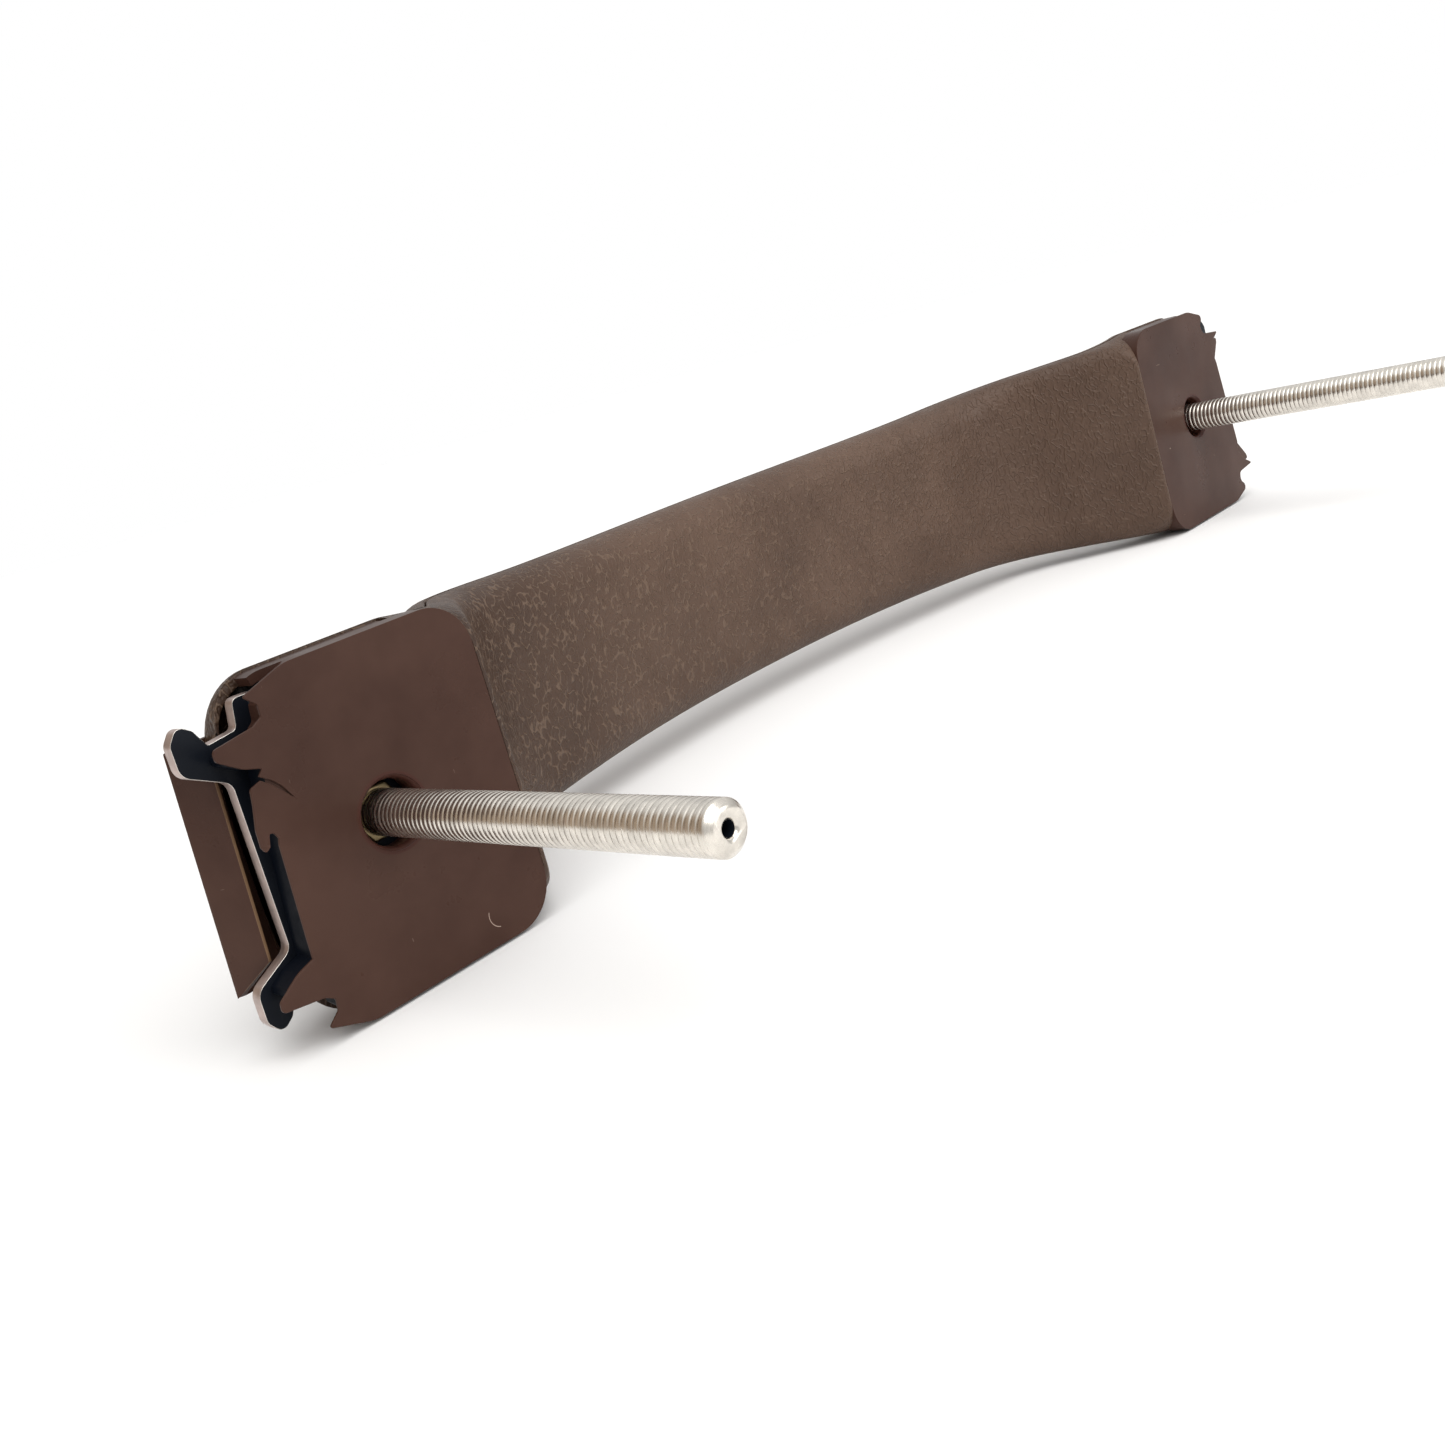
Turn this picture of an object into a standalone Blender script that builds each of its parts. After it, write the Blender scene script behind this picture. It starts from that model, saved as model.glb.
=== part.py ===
"""Padded strap handle on two long studs, for bolting through a panel.

Frame: X runs along the handle, +Y points from the mounting plane into the panel (the studs' way),
Z is the handle's width. The origin lies on the mounting plane, midway between the studs.
Depth is the distance below the mounting plane or below the handle's back face, towards -Y.
"""
import math

import bmesh
import bpy
from mathutils import Matrix, Vector

MM = 0.001
GAP = 0.3 * MM                      # clearance between touching pieces

# Layout
STUD_SPACING = 291 * MM
STUD_X = STUD_SPACING / 2
PAD_HALF_WIDTH = 30 * MM
GRIP_HALF_WIDTH = 24 * MM
TOTAL_DEPTH = 17.5 * MM             # back face to front face
BOW_DEPTH = 48.5 * MM               # back face of the grip below the mounting plane, at the middle

# Bow of the back face: flat pad, steep shoulder, then a long shallow arc
SHOULDER_X = 116.0 * MM             # where the pad's line and the shoulder's line cross
SHOULDER_ANGLE = math.radians(57)
ARC_END_ANGLE = math.radians(10.7)
SHOULDER_RADIUS = 11.4 * MM
SHOULDER_RADIUS_GROWTH = 0.48       # extra radius for each unit of depth inside the handle
HAUNCH_RADIUS = 31 * MM
ARC_RADIUS = 323 * MM
SHOULDER_STEPS = 5
HAUNCH_STEPS = 6
ARC_STEPS = 14

# Width along the handle, which grows from the middle as a power of the distance
FLARE_END = 131 * MM
FLARE_POWER = 3.5
BODY_CORNER_RADIUS = 8 * MM         # plan corner at each end of the padded body
BODY_CORNER_X = STUD_X + 11.5 * MM
BODY_END_X = BODY_CORNER_X + BODY_CORNER_RADIUS
CORNER_STEPS = 5

# Layers below the back face
PLATE_THICKNESS = 5.5 * MM          # the smooth skin and the dark core under it, as one slab
BACK_SKIN = 5.4 * MM
FRONT_SKIN = 2.0 * MM
STRIP_THICKNESS = 2.6 * MM
STRIP_TOP = PLATE_THICKNESS + GAP
STRIP_BOTTOM = STRIP_TOP + STRIP_THICKNESS
FOAM_TOP = STRIP_BOTTOM + GAP
PARTING_DEPTH = 10.0 * MM           # where the back cover meets the front cover on the sides
EDGE_RADIUS = 8.0 * MM
FRONT_EDGE_RADIUS = 7.0 * MM
FRONT_CROWN = 1.2 * MM
CROWN_INSET = 18 * MM               # from the side to the crown's flat top
EDGE_STEPS = 4
FOAM_END_X = BODY_CORNER_X + 2 * MM

# Ends, as distances past the stud. They lie out of square: the -Z side is the longer one
END_SKEW = 0.076                    # extra length for each unit of width towards -Z

# Steel strip
STRIP_PAD_HALF = 26.8 * MM
STRIP_GRIP_HALF = 16.9 * MM
STRIP_TAPER_START = 127 * MM
STRIP_TAPER_END = 138 * MM
STRIP_CORNER_RADIUS = 2.0 * MM
STRIP_SHOULDER_END = 19.6 * MM
STRIP_SHOULDER_Z = 24.0 * MM
EAR_TIP = 27.9 * MM
EAR_RADIUS = 3.6 * MM
EAR_CENTRE_Z = 20.2 * MM
STRIP_MIDDLE_END = 21.4 * MM
STRIP_MIDDLE_HALF = 12.3 * MM
STRIP_MIDDLE_RADIUS = 2.6 * MM

# End plates
PLATE_INNER_X = 120.8 * MM
PLATE_INNER_CORNER = 8.5 * MM
PLATE_SIDE_END = 15.0 * MM
PLATE_SIDE_RADIUS = 10.0 * MM
PLATE_SIDE_SWEEP = 42               # degrees turned by the rounded side corner
RECESS_END = 20.8 * MM
RECESS_HALF = 15.8 * MM
RECESS_RADIUS = 0.9 * MM
TOOTH_END = 27.4 * MM
TOOTH_Z = 20.3 * MM
TOOTH_RADIUS = 1.2 * MM
NOTCH_END = 18.3 * MM
NOTCH_Z = 23.5 * MM
NOTCH_WIDTH = 1.8 * MM
NOTCH_FLANK = 1.4 * MM
SIDE_TOOTH_END = 20.5 * MM
SIDE_TOOTH_Z = 27.1 * MM
SEAT_HALF_WIDTH = 40 * MM           # of the cutter that clears the end plates
RAIL_START_X = 132 * MM            # where the back cover's sides end
RAIL_INSET = 0.4 * MM
RAIL_THICKNESS = 1.6 * MM
RAIL_END_ANGLE = 70                 # degrees round the plan corner
RAIL_STEPS = 2
HOLE_RADIUS = 5.65 * MM
HOLE_LIP_RADIUS = 6.9 * MM
HOLE_LIP_DEPTH = 0.9 * MM
HOLE_LIP_BULGE = 0.35 * MM

# End tabs of the front cover
TAB_END = 26.2 * MM                 # past the stud
TAB_LEAN = 4.4 * MM                 # how far its top leans back to the strip
TAB_ROOT_LAP = 2.0 * MM
TAB_CORNER_RADIUS = 2.0 * MM
TAB_DROP = 0.4 * MM                 # below the front face's edge
TAB_BOTTOM_HALF = 21 * MM
TAB_TOP_HALF = 14.5 * MM
TAB_TOP_DEPTH = 9.0 * MM
TAB_THICKNESS = 1.6 * MM

# Studs, washers and nuts, M8
STUD_RADIUS = 4.0 * MM
STUD_TIP = 80.4 * MM
STUD_INNER_DEPTH = 15.0 * MM
STUD_CHAMFER = 1.1 * MM
CENTRE_HOLE_RADIUS = 0.75 * MM
CENTRE_DIMPLE_RADIUS = 1.4 * MM
CENTRE_DIMPLE_DEPTH = 0.9 * MM
CENTRE_HOLE_DEPTH = 4.0 * MM
CLEAR_RADIUS = STUD_RADIUS + GAP
COLLAR_FLATS = 9.2 * MM
COLLAR_TOP = 0.6 * MM
WASHER_RADIUS = 8.0 * MM
WASHER_THICKNESS = 1.6 * MM
NUT_FLATS = 13.0 * MM
NUT_HEIGHT = 4.0 * MM
POCKET_RADIUS = 9.0 * MM
ROUND_STEPS = 32

ENDS = {"right": 1, "left": -1}


def clear_scene():
    for old in list(bpy.data.objects):
        bpy.data.objects.remove(old, do_unlink=True)


def make_material(name, colour, roughness, metallic=0.0):
    material = bpy.data.materials.new(name)
    material.use_nodes = True
    shader = material.node_tree.nodes["Principled BSDF"]
    shader.inputs["Base Color"].default_value = (*colour, 1.0)
    shader.inputs["Roughness"].default_value = roughness
    shader.inputs["Metallic"].default_value = metallic
    material.diffuse_color = (*colour, 1.0)
    return material


def object_from(bm, name, material=None, smooth_angle=None):
    bmesh.ops.recalc_face_normals(bm, faces=bm.faces)
    mesh = bpy.data.meshes.new(name)
    bm.to_mesh(mesh)
    bm.free()
    if smooth_angle is not None:
        mesh.shade_smooth()
        mesh.set_sharp_from_angle(angle=math.radians(smooth_angle))
    obj = bpy.data.objects.new(name, mesh)
    bpy.context.scene.collection.objects.link(obj)
    if material is not None:
        obj.data.materials.append(material)
    return obj


def cut(target, cutter):
    cutter.hide_render = True
    cutter.display_type = "WIRE"
    modifier = target.modifiers.new("cut_" + cutter.name, "BOOLEAN")
    modifier.operation = "DIFFERENCE"
    modifier.solver = "EXACT"
    modifier.object = cutter


def join(target, added):
    added.hide_render = True
    added.display_type = "WIRE"
    modifier = target.modifiers.new("join_" + added.name, "BOOLEAN")
    modifier.operation = "UNION"
    modifier.solver = "EXACT"
    modifier.object = added


def smoothstep(start, end, value):
    t = min(max((value - start) / (end - start), 0.0), 1.0)
    return t * t * (3 - 2 * t)


def arc_points(centre, radius, start, end, steps):
    """Points on an arc in a plane, from angle start to angle end in degrees."""
    points = []
    for step in range(steps + 1):
        angle = math.radians(start + (end - start) * step / steps)
        points.append((centre[0] + radius * math.cos(angle), centre[1] + radius * math.sin(angle)))
    return points


def fillet(before, corner, after, radius, steps):
    """Points on the arc that rounds one corner of a polyline."""
    to_before = (Vector(before) - Vector(corner)).normalized()
    to_after = (Vector(after) - Vector(corner)).normalized()
    half = to_before.angle(to_after) / 2
    centre = Vector(corner) + (to_before + to_after).normalized() * radius / math.sin(half)
    start = Vector(corner) + to_before * radius / math.tan(half) - centre
    sweep = math.pi - 2 * half
    turn = 1 if to_before.x * to_after.y - to_before.y * to_after.x < 0 else -1
    points = []
    for step in range(steps + 1):
        rotation = Matrix.Rotation(turn * sweep * step / steps, 2)
        points.append(centre + rotation @ start)
    return points


def bow_path(depth):
    """The bowed part of the handle's line at one depth below its back face, as (x, y) points."""
    slope = math.tan(SHOULDER_ANGLE)
    shallow = math.tan(ARC_END_ANGLE)
    apex_y = -BOW_DEPTH - ARC_RADIUS * (1 / math.cos(ARC_END_ANGLE) - 1) - depth / math.cos(ARC_END_ANGLE)
    shoulder_x = SHOULDER_X + depth * math.tan(SHOULDER_ANGLE / 2)
    haunch_x = (-depth - shoulder_x * slope - apex_y) / (shallow - slope)
    haunch = (haunch_x, apex_y + haunch_x * shallow)
    shoulder = (shoulder_x, -depth)
    apex = (0.0, apex_y)
    mirrored_haunch = (-haunch[0], haunch[1])
    end = (STUD_X, -depth)
    shoulder_radius = SHOULDER_RADIUS + SHOULDER_RADIUS_GROWTH * depth
    right = fillet(haunch, shoulder, end, shoulder_radius, SHOULDER_STEPS)
    turn = fillet(apex, haunch, shoulder, HAUNCH_RADIUS + depth, HAUNCH_STEPS)
    middle = fillet(mirrored_haunch, apex, haunch, ARC_RADIUS + depth, ARC_STEPS)
    half = [tuple(point) for point in turn + right]
    mirrored = [(-x, y) for x, y in reversed(half)]
    return mirrored + [tuple(point) for point in middle] + half


def half_width(x):
    """Half of the padded body's width at x."""
    flare = min(abs(x) / FLARE_END, 1.0) ** FLARE_POWER
    wide = GRIP_HALF_WIDTH + (PAD_HALF_WIDTH - GRIP_HALF_WIDTH) * flare
    past = min(max(abs(x) - BODY_CORNER_X, 0.0), BODY_CORNER_RADIUS)
    return wide - BODY_CORNER_RADIUS + math.sqrt(BODY_CORNER_RADIUS ** 2 - past ** 2)


def strip_half_width(x):
    widened = smoothstep(STRIP_TAPER_START, STRIP_TAPER_END, abs(x))
    return STRIP_GRIP_HALF + (STRIP_PAD_HALF - STRIP_GRIP_HALF) * widened


def end_stations(end_x):
    """Where a layer has sections on its flat ends, beyond the shoulders."""
    corner = [BODY_CORNER_X + BODY_CORNER_RADIUS * math.sin(math.radians(90 * step / CORNER_STEPS))
              for step in range(CORNER_STEPS + 1)]
    return [x for x in corner if x < end_x] + [end_x]


def loft(section, end_x, width):
    """A solid swept along the bow. section holds (depth, inset from the side, side) corners in order."""
    rows = []
    for depth, inset, side in section:
        flats = [(x, -depth) for x in end_stations(end_x)]
        path = [(-x, y) for x, y in reversed(flats)] + bow_path(depth) + flats
        rows.append([Vector((x, y, side * (width(x) - inset))) for x, y in path])
    bm = bmesh.new()
    grid = [[bm.verts.new(point) for point in row] for row in rows]
    count = len(grid)
    for index in range(count):
        row, following = grid[index], grid[(index + 1) % count]
        for station in range(len(row) - 1):
            bm.faces.new((row[station], row[station + 1], following[station + 1], following[station]))
    bm.faces.new([row[0] for row in grid])
    bm.faces.new([row[-1] for row in reversed(grid)])
    return bm


def mirrored_section(half):
    """Both sides of a section from its +Z half."""
    other = [(depth, inset, -1) for depth, inset in reversed(half)]
    return [(depth, inset, 1) for depth, inset in half] + other


def back_edge(radius, offset=0.0):
    """Depth and inset along the rounded edge between the back face and the side."""
    edge = arc_points((radius, radius), radius - offset, 270, 180, EDGE_STEPS)
    return [(depth, inset) for inset, depth in edge]


def front_edge(radius, offset=0.0):
    """Depth and inset along the rounded edge between the side and the front face."""
    corners = []
    for inset, rise in arc_points((radius, -radius), radius - offset, 180, 90, EDGE_STEPS):
        corners.append((TOTAL_DEPTH + rise, inset))
    return corners


def prism(outline, top, bottom, name, material=None, smooth_angle=None):
    """An outline in X and Z, extruded along Y between two heights."""
    bm = bmesh.new()
    face = bm.faces.new([bm.verts.new((x, top, z)) for x, z in outline])
    sides = bmesh.ops.extrude_face_region(bm, geom=[face])
    moved = [item for item in sides["geom"] if isinstance(item, bmesh.types.BMVert)]
    bmesh.ops.translate(bm, verts=moved, vec=(0, bottom - top, 0))
    return object_from(bm, name, material, smooth_angle)


def turned(profile, x, name, material=None, closed=False):
    """A solid of revolution about the stud's line at x. profile holds (radius, y) corners in order.

    A closed profile stays clear of the line and makes a ring.
    """
    bm = bmesh.new()
    rings = []
    for radius, y in profile:
        if radius == 0:
            rings.append([bm.verts.new((x, y, 0))])
            continue
        ring = []
        for step in range(ROUND_STEPS):
            angle = math.tau * step / ROUND_STEPS
            ring.append(bm.verts.new((x + radius * math.cos(angle), y, radius * math.sin(angle))))
        rings.append(ring)
    pairs = list(zip(rings, rings[1:]))
    if closed:
        pairs.append((rings[-1], rings[0]))
    for lower, upper in pairs:
        for step in range(ROUND_STEPS):
            following = (step + 1) % ROUND_STEPS
            corners = [lower[step % len(lower)], lower[following % len(lower)],
                       upper[following % len(upper)], upper[step % len(upper)]]
            bm.faces.new(list(dict.fromkeys(corners)))
    return object_from(bm, name, material, smooth_angle=35)


def bore_cutter(radius, bottom, sign, name):
    """A plain cylinder from the mounting plane down, on a stud's line."""
    return turned([(0, 0.0), (radius, 0.0), (radius, bottom), (0, bottom)], sign * STUD_X, name)


def hexagon(x, flats):
    radius = flats / math.sqrt(3)
    return [(x + radius * math.cos(math.radians(60 * step)), radius * math.sin(math.radians(60 * step)))
            for step in range(6)]


def end_point(sign, past, z):
    """A point of an end's outline, from its distance past the stud, with the skew applied."""
    return (sign * (STUD_X + past - END_SKEW * z), z)


def strip_end_outline(sign):
    """The strip's shaped end, from its +Z side round to its -Z side."""
    corner = (STRIP_SHOULDER_END - STRIP_CORNER_RADIUS, STRIP_PAD_HALF - STRIP_CORNER_RADIUS)
    ear = (EAR_TIP - EAR_RADIUS, EAR_CENTRE_Z)
    middle = (STRIP_MIDDLE_END + STRIP_MIDDLE_RADIUS, STRIP_MIDDLE_HALF)
    half = arc_points(corner, STRIP_CORNER_RADIUS, 90, 0, 3)
    half.append((STRIP_SHOULDER_END, STRIP_SHOULDER_Z))
    half += arc_points(ear, EAR_RADIUS, 90, -50, 8)
    half += arc_points(middle, STRIP_MIDDLE_RADIUS, 120, 180, 4)
    return [end_point(sign, past, z) for past, z in half + [(past, -z) for past, z in reversed(half)]]


def build_strip(material):
    reach = EAR_TIP + PLATE_THICKNESS
    section = mirrored_section([(STRIP_TOP, 0.0), (STRIP_BOTTOM, 0.0)])
    strip = object_from(loft(section, STUD_X + reach, strip_half_width), "core_strip", material, 30)
    for side, sign in ENDS.items():
        far_x = sign * (STUD_X + reach + PLATE_THICKNESS)
        far_z = PAD_HALF_WIDTH + PLATE_THICKNESS
        outline = strip_end_outline(sign)
        frame = [(outline[-1][0], -far_z), (far_x, -far_z), (far_x, far_z), (outline[0][0], far_z)]
        cut(strip, prism(outline + frame, 0.0, -2 * STRIP_BOTTOM, side + "_strip_end_cutter"))
        cut(strip, bore_cutter(CLEAR_RADIUS, -2 * STRIP_BOTTOM, sign, side + "_strip_hole_cutter"))
    return strip


def build_back_cover(material):
    """The grained cover of the grip's back, with sides that turn down to the parting line."""
    outer = back_edge(EDGE_RADIUS) + [(PARTING_DEPTH, 0.0)]
    inner = [(PARTING_DEPTH, BACK_SKIN)] + list(reversed(back_edge(EDGE_RADIUS, BACK_SKIN)))
    half = outer + inner
    section = [(depth, inset, 1) for depth, inset in reversed(half)]
    section += [(depth, inset, -1) for depth, inset in half]
    cover = object_from(loft(section, RAIL_START_X - GAP, half_width), "grip_back_cover", material, 30)
    for side, sign in ENDS.items():
        near_x = sign * (PLATE_INNER_X - GAP)
        far_x = sign * STUD_X
        seat = [(near_x, -SEAT_HALF_WIDTH), (far_x, -SEAT_HALF_WIDTH),
                (far_x, SEAT_HALF_WIDTH), (near_x, SEAT_HALF_WIDTH)]
        cut(cover, prism(seat, PLATE_THICKNESS, -STRIP_TOP, side + "_plate_seat_cutter"))
    return cover


def build_front_cover(material):
    """The grained cover of the front, an open tray with an upright tab at each end."""
    crown = [(TOTAL_DEPTH + FRONT_CROWN, CROWN_INSET)]
    outer = [(PARTING_DEPTH + GAP, 0.0)] + front_edge(FRONT_EDGE_RADIUS) + crown
    inner = [(TOTAL_DEPTH + FRONT_CROWN - FRONT_SKIN, CROWN_INSET)]
    inner += reversed(front_edge(FRONT_EDGE_RADIUS, FRONT_SKIN))
    inner.append((PARTING_DEPTH + GAP, FRONT_SKIN))
    section = [(depth, inset, 1) for depth, inset in outer]
    section += [(depth, inset, -1) for depth, inset in reversed(outer)]
    section += [(depth, inset, -1) for depth, inset in reversed(inner)]
    section += [(depth, inset, 1) for depth, inset in inner]
    cover = object_from(loft(section, BODY_END_X, half_width), "front_cover", material, 30)
    for side, sign in ENDS.items():
        join(cover, build_tab(side, sign))
    return cover


def build_tab(side, sign):
    """The front cover's sheet carried past the body and turned up across the handle's end."""
    root_x = BODY_END_X - TAB_ROOT_LAP
    end_x = STUD_X + TAB_END
    low = -TOTAL_DEPTH - TAB_DROP
    sheet_top = low + TAB_THICKNESS
    centre = (end_x - TAB_CORNER_RADIUS, low + TAB_CORNER_RADIUS)
    corner = arc_points(centre, TAB_CORNER_RADIUS, 270, 360, 3)
    outer = [(root_x, low)] + corner + [(end_x, -TAB_TOP_DEPTH)]
    inner = [(end_x - TAB_THICKNESS, -TAB_TOP_DEPTH), (end_x - TAB_THICKNESS, sheet_top), (root_x, sheet_top)]
    rise = -TAB_TOP_DEPTH - sheet_top
    bm = bmesh.new()
    rows = []
    for z_side in (-1, 1):
        row = []
        for x, y in outer + inner:
            up = min(max((y - sheet_top) / rise, 0.0), 1.0)
            half = TAB_BOTTOM_HALF + (TAB_TOP_HALF - TAB_BOTTOM_HALF) * up
            row.append(bm.verts.new((sign * (x - TAB_LEAN * up), y, z_side * half)))
        rows.append(row)
    lower, upper = rows
    for index in range(len(lower)):
        following = (index + 1) % len(lower)
        bm.faces.new((lower[index], lower[following], upper[following], upper[index]))
    bm.faces.new(lower)
    bm.faces.new(upper)
    return object_from(bm, side + "_front_tab")


def build_foam(material):
    inset = FRONT_SKIN + GAP
    step = PARTING_DEPTH + GAP
    crown = [(TOTAL_DEPTH + FRONT_CROWN - inset, CROWN_INSET)]
    side = [(FOAM_TOP, BACK_SKIN + GAP), (step, BACK_SKIN + GAP), (step + GAP, inset)]
    half = side + front_edge(FRONT_EDGE_RADIUS, inset) + crown
    foam = object_from(loft(mirrored_section(half), FOAM_END_X, half_width), "foam_core", material, 30)
    for side, sign in ENDS.items():
        cut(foam, bore_cutter(POCKET_RADIUS, -2 * TOTAL_DEPTH, sign, side + "_nut_pocket_cutter"))
    return foam


def plate_outline(sign):
    """The end plate's outline: rounded inner corners, and teeth with a recess at the outer end."""
    inner_centre = (PLATE_INNER_X + PLATE_INNER_CORNER, PAD_HALF_WIDTH - PLATE_INNER_CORNER)
    inner = arc_points(inner_centre, PLATE_INNER_CORNER, 180, 90, 6)
    side_centre = (PLATE_SIDE_END - PLATE_SIDE_RADIUS / 2, PAD_HALF_WIDTH - PLATE_SIDE_RADIUS)
    tooth_centre = (TOOTH_END - TOOTH_RADIUS, TOOTH_Z)
    recess_centre = (RECESS_END + RECESS_RADIUS, RECESS_HALF - RECESS_RADIUS)
    end = arc_points(side_centre, PLATE_SIDE_RADIUS, 90, 90 - PLATE_SIDE_SWEEP, 4)
    end.append((SIDE_TOOTH_END, SIDE_TOOTH_Z))
    end.append((NOTCH_END, NOTCH_Z + NOTCH_WIDTH))
    end.append((NOTCH_END, NOTCH_Z))
    end.append((NOTCH_END + NOTCH_FLANK, NOTCH_Z - NOTCH_FLANK))
    end += arc_points(tooth_centre, TOOTH_RADIUS, 80, -55, 4)
    end += arc_points(recess_centre, RECESS_RADIUS, 100, 180, 2)
    outline = [(sign * x, z) for x, z in inner]
    outline += [end_point(sign, past, z) for past, z in end]
    outline += [end_point(sign, past, -z) for past, z in reversed(end)]
    return outline + [(sign * x, -z) for x, z in reversed(inner)]


def rail_outline(sign, side):
    """The wall under one long edge of an end plate, which follows the body's rounded corner."""
    outer_z = PAD_HALF_WIDTH - RAIL_INSET
    centre = (BODY_CORNER_X, outer_z - BODY_CORNER_RADIUS)
    outer = [(RAIL_START_X, outer_z)]
    outer += arc_points(centre, BODY_CORNER_RADIUS, 90, RAIL_END_ANGLE, RAIL_STEPS)
    inner = arc_points(centre, BODY_CORNER_RADIUS - RAIL_THICKNESS, RAIL_END_ANGLE, 90, RAIL_STEPS)
    inner.append((RAIL_START_X, outer_z - RAIL_THICKNESS))
    return [(sign * x, side * z) for x, z in outer + inner]


def build_end_plate(side, sign, material):
    plate = prism(plate_outline(sign), 0.0, -PLATE_THICKNESS, side + "_end_plate", material, 30)
    for rail_name, rail_side in (("upper", 1), ("lower", -1)):
        name = side + "_" + rail_name + "_rail"
        join(plate, prism(rail_outline(sign, rail_side), -PLATE_THICKNESS / 2, -PARTING_DEPTH, name))
    above = PLATE_THICKNESS
    hole = [(0, above), (HOLE_LIP_RADIUS + above, above), (HOLE_LIP_RADIUS, 0.0),
            (HOLE_RADIUS + HOLE_LIP_BULGE, -HOLE_LIP_DEPTH / 2), (HOLE_RADIUS, -HOLE_LIP_DEPTH),
            (HOLE_RADIUS, -2 * PLATE_THICKNESS), (0, -2 * PLATE_THICKNESS)]
    cut(plate, turned(hole, sign * STUD_X, side + "_plate_hole_cutter"))
    return plate


def build_stud(side, sign, material):
    tip = STUD_TIP
    profile = [(0, -STUD_INNER_DEPTH), (STUD_RADIUS - STUD_CHAMFER, -STUD_INNER_DEPTH),
               (STUD_RADIUS, -STUD_INNER_DEPTH + STUD_CHAMFER), (STUD_RADIUS, tip - STUD_CHAMFER),
               (STUD_RADIUS - STUD_CHAMFER, tip), (CENTRE_DIMPLE_RADIUS, tip),
               (CENTRE_HOLE_RADIUS, tip - CENTRE_DIMPLE_DEPTH), (CENTRE_HOLE_RADIUS, tip - CENTRE_HOLE_DEPTH),
               (0, tip - CENTRE_HOLE_DEPTH - CENTRE_HOLE_RADIUS)]
    stud = turned(profile, sign * STUD_X, side + "_stud", material)
    collar = prism(hexagon(sign * STUD_X, COLLAR_FLATS), -COLLAR_TOP, -STRIP_TOP + GAP, side + "_stud_collar")
    join(stud, collar)
    return stud


def build_washer(side, sign, material):
    top = -FOAM_TOP
    bottom = top - WASHER_THICKNESS
    profile = [(CLEAR_RADIUS, top), (WASHER_RADIUS, top), (WASHER_RADIUS, bottom), (CLEAR_RADIUS, bottom)]
    return turned(profile, sign * STUD_X, side + "_washer", material, closed=True)


def build_nut(side, sign, material):
    top = -FOAM_TOP - WASHER_THICKNESS - GAP
    nut = prism(hexagon(sign * STUD_X, NUT_FLATS), top, top - NUT_HEIGHT, side + "_nut", material, 30)
    cut(nut, bore_cutter(CLEAR_RADIUS, 2 * top - NUT_HEIGHT, sign, side + "_nut_bore_cutter"))
    return nut


def build():
    clear_scene()
    build_strip(make_material("blued_steel", (0.030, 0.036, 0.050), 0.35, 0.9))
    build_back_cover(make_material("grained_vinyl", (0.105, 0.070, 0.058), 0.55))
    build_front_cover(make_material("front_grained_vinyl", (0.100, 0.067, 0.056), 0.55))
    build_foam(make_material("foam", (0.045, 0.042, 0.040), 0.9))
    for side, sign in ENDS.items():
        build_end_plate(side, sign, make_material(side + "_smooth_vinyl", (0.110, 0.072, 0.060), 0.3))
        build_stud(side, sign, make_material(side + "_stud_steel", (0.72, 0.71, 0.68), 0.25, 1.0))
        build_washer(side, sign, make_material(side + "_washer_steel", (0.66, 0.65, 0.62), 0.3, 1.0))
        build_nut(side, sign, make_material(side + "_nut_steel", (0.66, 0.65, 0.62), 0.3, 1.0))


build()
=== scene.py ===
import math

import bmesh
import bpy
from mathutils import Matrix, Vector


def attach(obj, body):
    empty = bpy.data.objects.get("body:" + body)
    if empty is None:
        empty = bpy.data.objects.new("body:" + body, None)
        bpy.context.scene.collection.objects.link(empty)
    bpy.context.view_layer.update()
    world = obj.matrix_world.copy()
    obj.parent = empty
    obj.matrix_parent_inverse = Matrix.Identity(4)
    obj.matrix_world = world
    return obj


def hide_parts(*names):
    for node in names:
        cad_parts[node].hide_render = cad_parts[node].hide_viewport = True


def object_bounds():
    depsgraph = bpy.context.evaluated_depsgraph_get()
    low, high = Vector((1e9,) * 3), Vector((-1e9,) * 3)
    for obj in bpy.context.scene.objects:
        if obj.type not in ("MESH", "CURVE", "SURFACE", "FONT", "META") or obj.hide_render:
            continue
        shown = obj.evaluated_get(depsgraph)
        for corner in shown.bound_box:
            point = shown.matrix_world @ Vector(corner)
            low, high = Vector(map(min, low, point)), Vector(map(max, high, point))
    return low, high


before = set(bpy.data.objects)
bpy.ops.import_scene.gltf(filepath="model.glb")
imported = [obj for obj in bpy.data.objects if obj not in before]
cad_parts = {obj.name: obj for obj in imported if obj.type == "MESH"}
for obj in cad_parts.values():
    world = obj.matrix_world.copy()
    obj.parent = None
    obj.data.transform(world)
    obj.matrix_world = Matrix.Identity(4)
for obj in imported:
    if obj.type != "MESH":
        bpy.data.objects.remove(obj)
cad_low, cad_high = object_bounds()

MM = 0.001
GAP = 0.3 * MM
CLOSE = 1e-6

# Layout, as in the CAD part
STUD_X = 145.5 * MM
PAD_HALF = 30 * MM
GRIP_HALF = 24 * MM
FLARE_END = 131 * MM
FLARE_POWER = 3.5
TOTAL_DEPTH = 17.5 * MM
CROWN = 1.2 * MM
CROWN_INSET = 18 * MM
BOW_DEPTH = 48.5 * MM
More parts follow.
